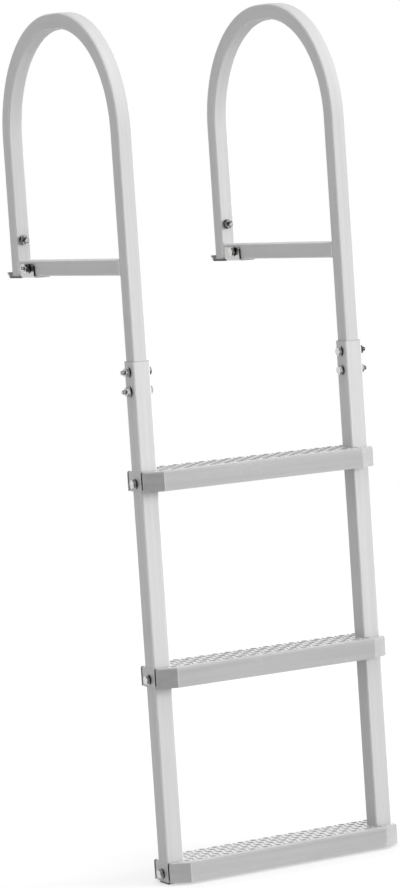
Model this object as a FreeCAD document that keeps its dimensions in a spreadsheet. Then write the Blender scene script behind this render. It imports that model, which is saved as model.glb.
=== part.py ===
import FreeCAD, Part

import math
import os

import Sketcher

# Swim ladder for a dock: two bent square-tube handrails on deck brackets, two lower rails that the
# handrails plug into, three folded tread trays between the lower rails, and the through bolts.
# Frame: +X to the climber's right, +Y towards the dock, +Z up, millimetres.
# Origin: underside of the left deck bracket, in the middle of its flat foot.

# Driving sizes: alias, value, meaning
SIZES = [
    ("rail_spacing", 381.0, "left rail centre line to right rail centre line"),
    ("leg_spacing", 381.0, "front leg centre line to rear leg centre line of one handrail"),
    ("tube_side", 25.4, "handrail and deck arm tube, outside width"),
    ("tube_wall", 2.0, "handrail and deck arm tube, wall"),
    ("tube_corner", 3.0, "handrail and deck arm tube, outside corner radius"),
    ("hoop_rise", 400.6, "handrail centre line at its top, above the foot of its rear leg"),
    ("hoop_crown", 21.0, "straight run between the two bends of a handrail"),
    ("sleeve_gap", 0.3, "clearance on each side of a handrail leg inside its lower rail"),
    ("rail_wall", 2.0, "lower rail tube, wall"),
    ("rail_corner", 3.0, "lower rail tube, outside corner radius"),
    ("rail_drop", 132.0, "top of the lower rails below the feet of the rear legs"),
    ("leg_insert", 111.0, "length of a handrail leg inside its lower rail"),
    ("rail_tail", 1.5, "lower rail below the skirt of the lowest step"),
    ("step_drop", 302.0, "tread of the top step below the feet of the rear legs"),
    ("step_pitch", 304.8, "tread to tread"),
    ("step_depth", 85.0, "tread, front to back"),
    ("step_skirt", 31.0, "height of a step's folded skirt"),
    ("step_sheet", 2.0, "sheet of a step"),
    ("step_fold", 3.0, "outside radius of a step's folds"),
    ("facet_run", 28.4, "corner facet of a step, measured along the tread"),
    ("facet_depth", 16.2, "corner facet of a step, measured front to back"),
    ("side_return", 1.9, "flat of a step's side between its front facet and its slit"),
    ("tab_corner", 4.5, "rounded lower corners of a side tab"),
    ("slit_width", 4.4, "slit between a side tab and the front facet"),
    ("relief_width", 4.5, "relief between a side tab and the rear facet"),
    ("slit_reach", 3.6, "how far the slits run in from the side of the tread"),
    ("tread_gap", 0.4, "clearance between a rail and its hole in a tread"),
    ("step_bolt_drop", 19.0, "step bolts below the tread"),
    ("sleeve_bolt_drop", 16.6, "upper sleeve bolt below the top of the lower rail"),
    ("sleeve_bolt_pitch", 30.0, "upper to lower sleeve bolt"),
    ("dock_bolt_rise", 58.0, "dock bolt above the foot of the rear leg"),
    ("bracket_plate", 3.0, "plate of a deck bracket"),
    ("bracket_fold", 1.5, "inside radius of a deck bracket's folds"),
    ("ear_setback", 13.0, "gap between the rear leg and the ears of its bracket"),
    ("ear_length", 48.4, "ears of a deck bracket, front to back"),
    ("ear_rise", 20.0, "ears of a deck bracket above their foot plate"),
    ("ear_corner", 5.0, "rounded upper corners of the ears"),
    ("arm_bolt_reach", 43.0, "bolt through the ears, in front of the rear leg"),
    ("lip_angle", 35.0, "rear lip of a deck bracket, above level, degrees"),
    ("lip_length", 11.0, "flat part of the rear lip"),
    ("deck_hole", 6.6, "screw holes in the foot of a deck bracket"),
    ("deck_land", 0.3, "straight part of a deck screw hole, under its 45 degree countersink"),
    ("deck_hole_edge", 16.0, "deck screw holes from the ends of the flat foot"),
    ("bolt_size", 8.0, "through bolts, nominal diameter"),
    ("bolt_gap", 0.25, "clearance round a bolt in its hole"),
    ("nut_gap", 0.1, "clearance round a bolt in its nut"),
    ("head_flats", 13.0, "bolt heads and nuts across flats"),
    ("head_height", 5.3, "bolt head"),
    ("washer_width", 16.0, "washer under each head and nut"),
    ("washer_sheet", 1.6, "washer thickness"),
    ("nut_height", 6.5, "nut"),
    ("thread_end", 6.0, "bolt end beyond its nut"),
    ("plug_rim", 2.0, "rim of a foot plug below the rail"),
    ("plug_depth", 8.0, "foot plug inside the rail, clear of the lowest step bolt"),
    ("plug_wall", 2.0, "foot plug, wall"),
    ("plug_gap", 0.3, "clearance between a foot plug and the rail"),
]

# Sizes and places that follow from the driving sizes
RAIL_SIDE = "(Sizes.tube_side + 2 * Sizes.sleeve_gap + 2 * Sizes.rail_wall)"
REAR_Y = "((Sizes.ear_setback + Sizes.ear_length) / 2)"
FRONT_Y = "(%s - Sizes.leg_spacing)" % REAR_Y
FOOT_Z = "Sizes.bracket_plate"
RAIL_TOP_Z = "(%s - Sizes.rail_drop)" % FOOT_Z
TREAD_Z = "(%s - Sizes.step_drop - %s * Sizes.step_pitch)" % (FOOT_Z, "%d")
LAST_STEP = 2
SKIRT_END = "(Sizes.step_drop + %d * Sizes.step_pitch + Sizes.step_skirt)" % LAST_STEP
RAIL_LENGTH = "(%s + Sizes.rail_tail - Sizes.rail_drop)" % SKIRT_END
BEND_RADIUS = "((Sizes.leg_spacing - Sizes.hoop_crown) / 2)"
TUBE_INSIDE = "(Sizes.tube_side - 2 * Sizes.tube_wall)"
TUBE_INSIDE_CORNER = "(Sizes.tube_corner - Sizes.tube_wall)"
SLEEVE_DROPS = {
    "upper": "Sizes.sleeve_bolt_drop",
    "lower": "(Sizes.sleeve_bolt_drop + Sizes.sleeve_bolt_pitch)",
}
ARM_BOLT_REACH = "(Sizes.tube_side / 2 + Sizes.arm_bolt_reach)"
BOLT_HOLE = "(Sizes.bolt_size / 2 + Sizes.bolt_gap)"

# How near a point counts as on a face or an edge, millimetres
NEAR = 0.01

# Side of the ladder: name, centre line in X, direction towards the middle of the ladder
SIDES = [("left", "0", 1), ("right", "Sizes.rail_spacing", -1)]
# Steps: name, how many pitches below the top one
STEPS = {"top": 0, "middle": 1, "bottom": LAST_STEP}

doc = FreeCAD.newDocument("SwimLadder")
sheet = doc.addObject("Spreadsheet::Sheet", "Sizes")
nodes = []


def fill_sheet():
    """Write the driving sizes into the sheet, one row each, with their aliases."""
    for row, (alias, value, meaning) in enumerate(SIZES, start=1):
        sheet.set("A%d" % row, meaning)
        sheet.set("B%d" % row, str(value))
        sheet.setAlias("B%d" % row, alias)
    doc.recompute()


def number(expression):
    """Value of an expression over the sheet."""
    return float(sheet.evalExpression(expression))


def bind(thing, path, expression):
    """Tie one property of a document object to an expression."""
    thing.setExpression(path, expression)


# Bodies and sketches

def new_body(name, x, y, z):
    """Empty body whose Label is its node's name, placed by three expressions."""
    body = doc.addObject("PartDesign::Body", name)
    body.Label = name
    body.Placement.Base = FreeCAD.Vector(number(x), number(y), number(z))
    bind(body, ".Placement.Base.x", x)
    bind(body, ".Placement.Base.y", y)
    bind(body, ".Placement.Base.z", z)
    nodes.append(body)
    return body


def new_sketch(body, name, plane, offset="0"):
    """Sketch on one of the body's own origin planes, moved along its normal by an expression."""
    sketch = body.newObject("Sketcher::SketchObject", "%s_%s" % (body.Name, name))
    support = [item for item in body.Origin.OriginFeatures if item.Role == plane][0]
    sketch.AttachmentSupport = [(support, "")]
    sketch.MapMode = "FlatFace"
    sketch.AttachmentOffset.Base.z = number(offset)
    bind(sketch, "AttachmentOffset.Base.z", offset)
    return sketch


def constrain(sketch, kind, items, expression):
    """Add a dimension to a sketch and tie it to an expression."""
    index = sketch.addConstraint(Sketcher.Constraint(kind, *items, number(expression)))
    bind(sketch, "Constraints[%d]" % index, expression)


def flat(x, y):
    """Point in a sketch's own plane."""
    return FreeCAD.Vector(x, y, 0)


def sketch_arc(centre, radius, start, end):
    """Arc geometry, counter-clockwise from start to end in degrees."""
    circle = Part.Circle(centre, FreeCAD.Vector(0, 0, 1), radius)
    return Part.ArcOfCircle(circle, math.radians(start), math.radians(end))


def draw_circle(sketch, x, y, radius):
    """Circle placed and sized by expressions."""
    circle = Part.Circle(flat(number(x), number(y)), FreeCAD.Vector(0, 0, 1), number(radius))
    index = sketch.addGeometry(circle)
    constrain(sketch, "DistanceX", (-1, 1, index, 3), x)
    constrain(sketch, "DistanceY", (-1, 1, index, 3), y)
    constrain(sketch, "Radius", (index,), radius)


def draw_rectangle(sketch, left, right, bottom, top):
    """Rectangle whose four sides are placed by expressions."""
    x0, x1, y0, y1 = [number(side) for side in (left, right, bottom, top)]
    corners = [flat(x0, y0), flat(x1, y0), flat(x1, y1), flat(x0, y1)]
    first = sketch.addGeometry(Part.LineSegment(corners[0], corners[1]))
    for k in (1, 2, 3):
        sketch.addGeometry(Part.LineSegment(corners[k], corners[(k + 1) % 4]))
    for k in range(4):
        sketch.addConstraint(Sketcher.Constraint("Coincident", first + k, 2, first + (k + 1) % 4, 1))
        kind = "Horizontal" if k % 2 == 0 else "Vertical"
        sketch.addConstraint(Sketcher.Constraint(kind, first + k))
    constrain(sketch, "DistanceX", (-1, 1, first, 1), left)
    constrain(sketch, "DistanceX", (-1, 1, first, 2), right)
    constrain(sketch, "DistanceY", (-1, 1, first, 1), bottom)
    constrain(sketch, "DistanceY", (-1, 1, first + 2, 1), top)


def draw_round_square(sketch, side, corner, middle="0"):
    """Square with rounded corners, centred on x = 0 and y = middle."""
    half = number(side) / 2
    radius = number(corner)
    shift = number(middle)
    reach = half - radius
    ends = [
        (flat(-reach, -half), flat(reach, -half)),
        (flat(half, -reach), flat(half, reach)),
        (flat(reach, half), flat(-reach, half)),
        (flat(-half, reach), flat(-half, -reach)),
    ]
    centres = [flat(reach, -reach), flat(reach, reach), flat(-reach, reach), flat(-reach, -reach)]
    lift = flat(0, shift)
    first = sketch.GeometryCount
    for start, end in ends:
        sketch.addGeometry(Part.LineSegment(start + lift, end + lift))
    for k, centre in enumerate(centres):
        sketch.addGeometry(sketch_arc(centre + lift, radius, 90 * k - 90, 90 * k))
    for k in range(4):
        line = first + k
        arc = first + 4 + k
        following = first + (k + 1) % 4
        sketch.addConstraint(Sketcher.Constraint("Tangent", line, 2, arc, 1))
        sketch.addConstraint(Sketcher.Constraint("Tangent", arc, 2, following, 1))
        kind = "Horizontal" if k % 2 == 0 else "Vertical"
        sketch.addConstraint(Sketcher.Constraint(kind, line))
        if k > 0:
            sketch.addConstraint(Sketcher.Constraint("Equal", first + 4, arc))
    constrain(sketch, "Radius", (first + 4,), corner)
    constrain(sketch, "DistanceX", (-1, 1, first + 1, 1), "%s / 2" % side)
    constrain(sketch, "DistanceX", (first + 3, 1, first + 1, 1), side)
    constrain(sketch, "DistanceY", (-1, 1, first + 2, 1), "%s + %s / 2" % (middle, side))
    constrain(sketch, "DistanceY", (first, 1, first + 2, 1), side)


# Features

def pad(body, sketch, length, reverse=False, both_ways=False):
    """Pad a sketch by an expression."""
    feature = body.newObject("PartDesign::Pad", sketch.Name + "_pad")
    feature.Profile = sketch
    feature.Length = number(length)
    bind(feature, "Length", length)
    feature.Reversed = reverse
    if both_ways:
        feature.SideType = "Symmetric"
    doc.recompute()
    return feature


def pocket(body, sketch, length, reverse=False, both_ways=False):
    """Pocket a sketch by an expression; it must take material away."""
    before = body.Shape.Volume
    feature = body.newObject("PartDesign::Pocket", sketch.Name + "_pocket")
    feature.Profile = sketch
    feature.Length = number(length)
    bind(feature, "Length", length)
    feature.Reversed = reverse
    if both_ways:
        feature.SideType = "Symmetric"
    doc.recompute()
    if not feature.Shape.Volume < before:
        raise ValueError("%s cuts nothing" % feature.Name)
    return feature


def runs_across(edge):
    """True for a straight edge along X."""
    along_x = FreeCAD.Vector(1, 0, 0)
    return isinstance(edge.Curve, Part.Line) and edge.Curve.Direction.cross(along_x).Length < NEAR


def dress(body, kind, base, size_name, size, test):
    """Fillet or chamfer every edge of base that passes the test with its middle point."""
    feature = body.newObject("PartDesign::" + kind, "%s_%s" % (base.Name, kind.lower()))
    names = []
    for place, edge in enumerate(base.Shape.Edges, start=1):
        middle = edge.valueAt((edge.FirstParameter + edge.LastParameter) / 2)
        if test(middle, edge):
            names.append("Edge%d" % place)
    feature.Base = (base, names)
    setattr(feature, size_name, number(size))
    bind(feature, size_name, size)
    doc.recompute()
    return feature


def add_primitive(body, kind, name, sizes, height_above):
    """Additive or subtractive primitive standing on the body's XY plane, lifted by an expression."""
    feature = body.newObject("PartDesign::" + kind, "%s_%s" % (body.Name, name))
    for size_name, size in sizes.items():
        setattr(feature, size_name, number(size))
        bind(feature, size_name, size)
    support = [item for item in body.Origin.OriginFeatures if item.Role == "XY_Plane"][0]
    feature.AttachmentSupport = [(support, "")]
    feature.MapMode = "FlatFace"
    feature.AttachmentOffset.Base.z = number(height_above)
    bind(feature, "AttachmentOffset.Base.z", height_above)
    doc.recompute()
    return feature


# Handrail: square tube bent to an upside-down U. The body's own origin is the foot of the rear leg.

def make_handrail(side, x):
    body = new_body("handrail_%s" % side, x, REAR_Y, FOOT_Z)
    radius = number(BEND_RADIUS)
    spacing = number("Sizes.leg_spacing")
    top = number("Sizes.hoop_rise")
    foot = "-(Sizes.rail_drop + Sizes.leg_insert)"
    path = new_sketch(body, "path", "YZ_Plane")
    path.addGeometry(Part.LineSegment(flat(-spacing, number(foot)), flat(-spacing, top - radius)))
    path.addGeometry(sketch_arc(flat(radius - spacing, top - radius), radius, 90, 180))
    path.addGeometry(Part.LineSegment(flat(radius - spacing, top), flat(-radius, top)))
    path.addGeometry(sketch_arc(flat(-radius, top - radius), radius, 0, 90))
    path.addGeometry(Part.LineSegment(flat(0, top - radius), flat(0, 0)))
    for line, line_end, arc, arc_end in ((0, 2, 1, 2), (2, 1, 1, 1), (2, 2, 3, 2), (4, 1, 3, 1)):
        path.addConstraint(Sketcher.Constraint("Tangent", line, line_end, arc, arc_end))
    path.addConstraint(Sketcher.Constraint("Vertical", 0))
    path.addConstraint(Sketcher.Constraint("Horizontal", 2))
    path.addConstraint(Sketcher.Constraint("Vertical", 4))
    path.addConstraint(Sketcher.Constraint("Equal", 1, 3))
    constrain(path, "Radius", (1,), BEND_RADIUS)
    constrain(path, "DistanceX", (-1, 1, 0, 1), "-Sizes.leg_spacing")
    constrain(path, "DistanceY", (-1, 1, 0, 1), foot)
    constrain(path, "DistanceY", (-1, 1, 2, 1), "Sizes.hoop_rise")
    path.addConstraint(Sketcher.Constraint("Coincident", 4, 2, -1, 1))
    section = new_sketch(body, "section", "XY_Plane", foot)
    draw_round_square(section, "Sizes.tube_side", "Sizes.tube_corner", "-Sizes.leg_spacing")
    draw_round_square(section, TUBE_INSIDE, TUBE_INSIDE_CORNER, "-Sizes.leg_spacing")
    doc.recompute()
    tube = body.newObject("PartDesign::AdditivePipe", body.Name + "_tube")
    tube.Profile = section
    tube.Spine = (path, ["Edge1", "Edge2", "Edge3", "Edge4", "Edge5"])
    doc.recompute()
    sleeve_holes = new_sketch(body, "sleeve_holes", "YZ_Plane")
    for drop in SLEEVE_DROPS.values():
        draw_circle(sleeve_holes, "-Sizes.leg_spacing", "-Sizes.rail_drop - %s" % drop, BOLT_HOLE)
    pocket(body, sleeve_holes, "2 * Sizes.tube_side", both_ways=True)
    dock_hole = new_sketch(body, "dock_hole", "XZ_Plane")
    draw_circle(dock_hole, "0", "Sizes.dock_bolt_rise", BOLT_HOLE)
    pocket(body, dock_hole, "2 * Sizes.tube_side", both_ways=True)


# Deck arm: straight tube from the rear leg to the front leg, level with the leg's foot

def make_arm(side, x):
    body = new_body("deck_arm_%s" % side, x, REAR_Y, FOOT_Z)
    section = new_sketch(body, "section", "XZ_Plane", "Sizes.tube_side / 2")
    draw_round_square(section, "Sizes.tube_side", "Sizes.tube_corner", "Sizes.tube_side / 2")
    draw_round_square(section, TUBE_INSIDE, TUBE_INSIDE_CORNER, "Sizes.tube_side / 2")
    pad(body, section, "Sizes.leg_spacing - Sizes.tube_side")
    bolt_hole = new_sketch(body, "bolt_hole", "YZ_Plane")
    draw_circle(bolt_hole, "-%s" % ARM_BOLT_REACH, "Sizes.tube_side / 2", BOLT_HOLE)
    pocket(body, bolt_hole, "2 * Sizes.tube_side", both_ways=True)


# Lower rail: straight tube that takes the handrail leg. The body's own origin is its top.

def make_lower_rail(side, x):
    body = new_body("lower_rail_%s" % side, x, FRONT_Y, RAIL_TOP_Z)
    section = new_sketch(body, "section", "XY_Plane")
    draw_round_square(section, RAIL_SIDE, "Sizes.rail_corner")
    inner_side = "(%s - 2 * Sizes.rail_wall)" % RAIL_SIDE
    draw_round_square(section, inner_side, "(Sizes.rail_corner - Sizes.rail_wall)")
    pad(body, section, RAIL_LENGTH, reverse=True)
    holes = new_sketch(body, "holes", "YZ_Plane")
    for drop in SLEEVE_DROPS.values():
        draw_circle(holes, "0", "-%s" % drop, BOLT_HOLE)
    step_bolt = "(Sizes.step_drop + %d * Sizes.step_pitch + Sizes.step_bolt_drop)"
    for index in STEPS.values():
        draw_circle(holes, "0", "Sizes.rail_drop - %s" % (step_bolt % index), BOLT_HOLE)
    pocket(body, holes, "2 * %s" % RAIL_SIDE, both_ways=True)


# Foot plug: rim under the end of the lower rail and a hollow spigot inside it

def make_plug(side, x):
    body = new_body("foot_plug_%s" % side, x, FRONT_Y, "%s - %s" % (RAIL_TOP_Z, RAIL_LENGTH))
    rim = new_sketch(body, "rim", "XY_Plane")
    draw_round_square(rim, RAIL_SIDE, "Sizes.rail_corner")
    pad(body, rim, "Sizes.plug_rim", reverse=True)
    spigot_side = "(%s - 2 * Sizes.rail_wall - 2 * Sizes.plug_gap)" % RAIL_SIDE
    spigot = new_sketch(body, "spigot", "XY_Plane")
    draw_round_square(spigot, spigot_side, "Sizes.rail_corner / 2")
    pad(body, spigot, "Sizes.plug_depth")
    hollow = new_sketch(body, "hollow", "XY_Plane")
    draw_round_square(hollow, "(%s - 2 * Sizes.plug_wall)" % spigot_side, "Sizes.rail_corner / 3")
    pocket(body, hollow, "Sizes.plug_depth", reverse=True)


# Deck bracket: folded plate. The body's own origin is under the middle of the rear leg.

def make_bracket(side, x):
    body = new_body("deck_bracket_%s" % side, x, REAR_Y, "0")
    plate = number("Sizes.bracket_plate")
    fold = number("Sizes.bracket_fold")
    leg = number("Sizes.tube_side") / 2
    width = "(Sizes.tube_side + 2 * Sizes.bracket_plate)"
    ears_rear = "(Sizes.tube_side / 2 + Sizes.ear_setback)"

    # Foot and rear lip in side view: a plate that turns up behind the leg
    angle = math.radians(number("Sizes.lip_angle"))
    turn = flat(leg, plate + fold)
    along = flat(math.cos(angle), math.sin(angle))
    across = flat(-math.sin(angle), math.cos(angle))
    run = along * number("Sizes.lip_length")
    outer_end = turn - across * (plate + fold)
    inner_end = turn - across * fold
    front = -number(ears_rear)
    foot = new_sketch(body, "foot", "YZ_Plane")
    foot.addGeometry(Part.LineSegment(flat(front, 0), flat(leg, 0)))
    foot.addGeometry(sketch_arc(turn, plate + fold, 270, 270 + math.degrees(angle)))
    foot.addGeometry(Part.LineSegment(outer_end, outer_end + run))
    foot.addGeometry(Part.LineSegment(outer_end + run, inner_end + run))
    foot.addGeometry(Part.LineSegment(inner_end + run, inner_end))
    foot.addGeometry(sketch_arc(turn, fold, 270, 270 + math.degrees(angle)))
    foot.addGeometry(Part.LineSegment(flat(leg, plate), flat(front, plate)))
    foot.addGeometry(Part.LineSegment(flat(front, plate), flat(front, 0)))
    foot.addConstraint(Sketcher.Constraint("Tangent", 0, 2, 1, 1))
    foot.addConstraint(Sketcher.Constraint("Tangent", 1, 2, 2, 1))
    foot.addConstraint(Sketcher.Constraint("Coincident", 2, 2, 3, 1))
    foot.addConstraint(Sketcher.Constraint("Perpendicular", 2, 3))
    foot.addConstraint(Sketcher.Constraint("Coincident", 3, 2, 4, 1))
    foot.addConstraint(Sketcher.Constraint("Tangent", 4, 2, 5, 2))
    foot.addConstraint(Sketcher.Constraint("Tangent", 5, 1, 6, 1))
    foot.addConstraint(Sketcher.Constraint("Coincident", 6, 2, 7, 1))
    foot.addConstraint(Sketcher.Constraint("Coincident", 7, 2, 0, 1))
    foot.addConstraint(Sketcher.Constraint("Horizontal", 0))
    foot.addConstraint(Sketcher.Constraint("Vertical", 7))
    foot.addConstraint(Sketcher.Constraint("Coincident", 1, 3, 5, 3))
    constrain(foot, "DistanceX", (-1, 1, 0, 1), "-%s" % ears_rear)
    constrain(foot, "DistanceY", (-1, 1, 0, 1), "0")
    constrain(foot, "DistanceX", (-1, 1, 1, 3), "Sizes.tube_side / 2")
    constrain(foot, "Radius", (5,), "Sizes.bracket_fold")
    constrain(foot, "Radius", (1,), "Sizes.bracket_fold + Sizes.bracket_plate")
    constrain(foot, "Distance", (2,), "Sizes.lip_length")
    index = foot.addConstraint(Sketcher.Constraint("Angle", 0, 2, angle))
    bind(foot, "Constraints[%d]" % index, "Sizes.lip_angle")
    pad(body, foot, width, both_ways=True)

    # Ears: the plate folded up on both sides of the arm
    half_out = number(width) / 2
    half_in = leg
    top = plate + number("Sizes.ear_rise")
    bend = plate + fold
    ears = new_sketch(body, "ears", "XZ_Plane", ears_rear)
    ears.addGeometry(Part.LineSegment(flat(bend - half_out, 0), flat(half_out - bend, 0)))
    ears.addGeometry(sketch_arc(flat(half_out - bend, bend), bend, 270, 360))
    ears.addGeometry(Part.LineSegment(flat(half_out, bend), flat(half_out, top)))
    ears.addGeometry(Part.LineSegment(flat(half_out, top), flat(half_in, top)))
    ears.addGeometry(Part.LineSegment(flat(half_in, top), flat(half_in, bend)))
    ears.addGeometry(sketch_arc(flat(half_in - fold, bend), fold, 270, 360))
    ears.addGeometry(Part.LineSegment(flat(half_in - fold, plate), flat(fold - half_in, plate)))
    ears.addGeometry(sketch_arc(flat(fold - half_in, bend), fold, 180, 270))
    ears.addGeometry(Part.LineSegment(flat(-half_in, bend), flat(-half_in, top)))
    ears.addGeometry(Part.LineSegment(flat(-half_in, top), flat(-half_out, top)))
    ears.addGeometry(Part.LineSegment(flat(-half_out, top), flat(-half_out, bend)))
    ears.addGeometry(sketch_arc(flat(bend - half_out, bend), bend, 180, 270))
    joins = [
        ("Tangent", 0, 2, 1, 1), ("Tangent", 1, 2, 2, 1), ("Coincident", 2, 2, 3, 1),
        ("Coincident", 3, 2, 4, 1), ("Tangent", 4, 2, 5, 2), ("Tangent", 5, 1, 6, 1),
        ("Tangent", 6, 2, 7, 2), ("Tangent", 7, 1, 8, 1), ("Coincident", 8, 2, 9, 1),
        ("Coincident", 9, 2, 10, 1), ("Tangent", 10, 2, 11, 1), ("Tangent", 11, 2, 0, 1),
    ]
    for join in joins:
        ears.addConstraint(Sketcher.Constraint(*join))
    for line in (0, 3, 9):
        ears.addConstraint(Sketcher.Constraint("Horizontal", line))
    for line in (2, 4, 8, 10):
        ears.addConstraint(Sketcher.Constraint("Vertical", line))
    ears.addConstraint(Sketcher.Constraint("Equal", 1, 11))
    ears.addConstraint(Sketcher.Constraint("Equal", 5, 7))
    constrain(ears, "Radius", (1,), "Sizes.bracket_plate + Sizes.bracket_fold")
    constrain(ears, "Radius", (5,), "Sizes.bracket_fold")
    constrain(ears, "DistanceY", (-1, 1, 0, 1), "0")
    constrain(ears, "DistanceY", (-1, 1, 6, 1), "Sizes.bracket_plate")
    constrain(ears, "DistanceX", (-1, 1, 2, 2), "%s / 2" % width)
    constrain(ears, "DistanceX", (-1, 1, 10, 1), "-%s / 2" % width)
    constrain(ears, "DistanceX", (-1, 1, 4, 1), "Sizes.tube_side / 2")
    constrain(ears, "DistanceX", (-1, 1, 8, 2), "-Sizes.tube_side / 2")
    constrain(ears, "DistanceY", (-1, 1, 2, 2), "Sizes.bracket_plate + Sizes.ear_rise")
    constrain(ears, "DistanceY", (-1, 1, 10, 1), "Sizes.bracket_plate + Sizes.ear_rise")
    folded = pad(body, ears, "Sizes.ear_length")
    ears_front = "(%s + Sizes.ear_length)" % ears_rear
    corner_ys = [-number(ears_rear), -number(ears_front)]

    def ear_corner(middle, edge):
        """Edges across the plate at the upper front and rear corners of the ears."""
        at_top = abs(middle.z - top) < NEAR
        at_end = min(abs(middle.y - y) for y in corner_ys) < NEAR
        return at_top and at_end and runs_across(edge)

    dress(body, "Fillet", folded, "Radius", "Sizes.ear_corner", ear_corner)
    bolt_hole = new_sketch(body, "bolt_hole", "YZ_Plane")
    draw_circle(bolt_hole, "-%s" % ARM_BOLT_REACH, "Sizes.bracket_plate + Sizes.tube_side / 2", BOLT_HOLE)
    pocket(body, bolt_hole, "2 * %s" % width, both_ways=True)

    # Countersunk holes for two deck screws on the centre line of the foot
    screws = new_sketch(body, "deck_holes", "XY_Plane")
    draw_circle(screws, "0", "Sizes.tube_side / 2 - Sizes.deck_hole_edge", "Sizes.deck_hole / 2")
    draw_circle(screws, "0", "Sizes.deck_hole_edge - %s" % ears_front, "Sizes.deck_hole / 2")
    drilled = pocket(body, screws, "2 * Sizes.bracket_plate", both_ways=True)
    hole_radius = number("Sizes.deck_hole / 2")

    def hole_rim(middle, edge):
        """Upper rims of the deck screw holes."""
        if abs(middle.z - plate) > NEAR or not isinstance(edge.Curve, Part.Circle):
            return False
        return abs(edge.Curve.Radius - hole_radius) < NEAR

    dress(body, "Chamfer", drilled, "Size", "Sizes.bracket_plate - Sizes.deck_land", hole_rim)


# Step: folded tread tray. The body's own origin is the middle of the tread's top face.

def make_step(name, index):
    body = new_body("step_%s" % name, "Sizes.rail_spacing / 2", FRONT_Y, TREAD_Z % index)
    half_x = "(Sizes.rail_spacing / 2 + %s / 2 + Sizes.step_sheet)" % RAIL_SIDE
    half_y = "(Sizes.step_depth / 2)"
    x1, y1 = number(half_x), number(half_y)
    x0 = x1 - number("Sizes.facet_run")
    y0 = y1 - number("Sizes.facet_depth")
    corners = [(-x0, -y1), (x0, -y1), (x1, -y0), (x1, y0), (x0, y1), (-x0, y1), (-x1, y0), (-x1, -y0)]

    # Outline of the tread with its four corner facets
    outline = new_sketch(body, "outline", "XY_Plane")
    for k in range(8):
        outline.addGeometry(Part.LineSegment(flat(*corners[k]), flat(*corners[(k + 1) % 8])))
    for k in range(8):
        outline.addConstraint(Sketcher.Constraint("Coincident", k, 2, (k + 1) % 8, 1))
    outline.addConstraint(Sketcher.Constraint("Symmetric", 0, 1, 0, 2, -2))
    outline.addConstraint(Sketcher.Constraint("Symmetric", 4, 1, 4, 2, -2))
    outline.addConstraint(Sketcher.Constraint("Symmetric", 2, 1, 2, 2, -1))
    outline.addConstraint(Sketcher.Constraint("Symmetric", 6, 1, 6, 2, -1))
    constrain(outline, "DistanceX", (-1, 1, 2, 1), half_x)
    constrain(outline, "DistanceX", (-1, 1, 6, 1), "-%s" % half_x)
    constrain(outline, "DistanceX", (-1, 1, 0, 2), "%s - Sizes.facet_run" % half_x)
    constrain(outline, "DistanceX", (-1, 1, 4, 1), "%s - Sizes.facet_run" % half_x)
    constrain(outline, "DistanceY", (-1, 1, 0, 1), "-%s" % half_y)
    constrain(outline, "DistanceY", (-1, 1, 4, 1), half_y)
    constrain(outline, "DistanceY", (-1, 1, 2, 2), "%s - Sizes.facet_depth" % half_y)
    constrain(outline, "DistanceY", (-1, 1, 6, 1), "%s - Sizes.facet_depth" % half_y)
    block = pad(body, outline, "Sizes.step_skirt", reverse=True)
    bottom = -number("Sizes.step_skirt")

    def folded_edge(middle, edge):
        """Every edge of the block but those round its open underside."""
        return middle.z > bottom + NEAR

    folded = dress(body, "Fillet", block, "Radius", "Sizes.step_fold", folded_edge)

    # Hollow it from below to the thickness of its sheet
    underside = None
    for place, face in enumerate(folded.Shape.Faces, start=1):
        if abs(face.CenterOfMass.z - bottom) < NEAR:
            underside = "Face%d" % place
    tray = body.newObject("PartDesign::Thickness", body.Name + "_tray")
    tray.Base = (folded, [underside])
    tray.Value = number("Sizes.step_sheet")
    bind(tray, "Value", "Sizes.step_sheet")
    tray.Reversed = True
    doc.recompute()

    # Square holes that the rails pass through, flush with the side tabs
    holes = new_sketch(body, "rail_holes", "XY_Plane")
    rail_out = "(Sizes.rail_spacing / 2 + %s / 2)" % RAIL_SIDE
    rail_in = "(Sizes.rail_spacing / 2 - %s / 2 - Sizes.tread_gap)" % RAIL_SIDE
    across = "(%s / 2 + Sizes.tread_gap)" % RAIL_SIDE
    draw_rectangle(holes, rail_in, rail_out, "-%s" % across, across)
    draw_rectangle(holes, "-%s" % rail_out, "-%s" % rail_in, "-%s" % across, across)
    pocket(body, holes, "Sizes.step_fold + Sizes.step_sheet")

    # Slits that free the side tabs from the facets
    slits = new_sketch(body, "slits", "XY_Plane")
    tab = "(%s - Sizes.facet_depth - Sizes.side_return - Sizes.slit_width)" % half_y
    inward = "(%s - Sizes.slit_reach)" % half_x
    outward = "(%s + Sizes.slit_reach)" % half_x
    front_slit = ("-(%s + Sizes.slit_width)" % tab, "-%s" % tab)
    rear_relief = (tab, "(%s + Sizes.relief_width)" % tab)
    for low, high in (front_slit, rear_relief):
        draw_rectangle(slits, inward, outward, low, high)
        draw_rectangle(slits, "-%s" % outward, "-%s" % inward, low, high)
    cut = pocket(body, slits, "2 * Sizes.step_skirt", both_ways=True)
    tab_y = number(tab)
    side_x = number(inward)

    def tab_corner(middle, edge):
        """Lower corners of the side tabs, across the sheet."""
        at_corner = abs(middle.z - bottom) < NEAR and abs(abs(middle.y) - tab_y) < NEAR
        return at_corner and abs(middle.x) > side_x and runs_across(edge)

    dress(body, "Fillet", cut, "Radius", "Sizes.tab_corner", tab_corner)
    bolt_holes = new_sketch(body, "bolt_holes", "YZ_Plane")
    draw_circle(bolt_holes, "0", "-Sizes.step_bolt_drop", BOLT_HOLE)
    pocket(body, bolt_holes, "4 * %s" % half_x, both_ways=True)


# Bolts and nuts. A bolt's own frame has its bearing face at z = 0 and its head above it.

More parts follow.
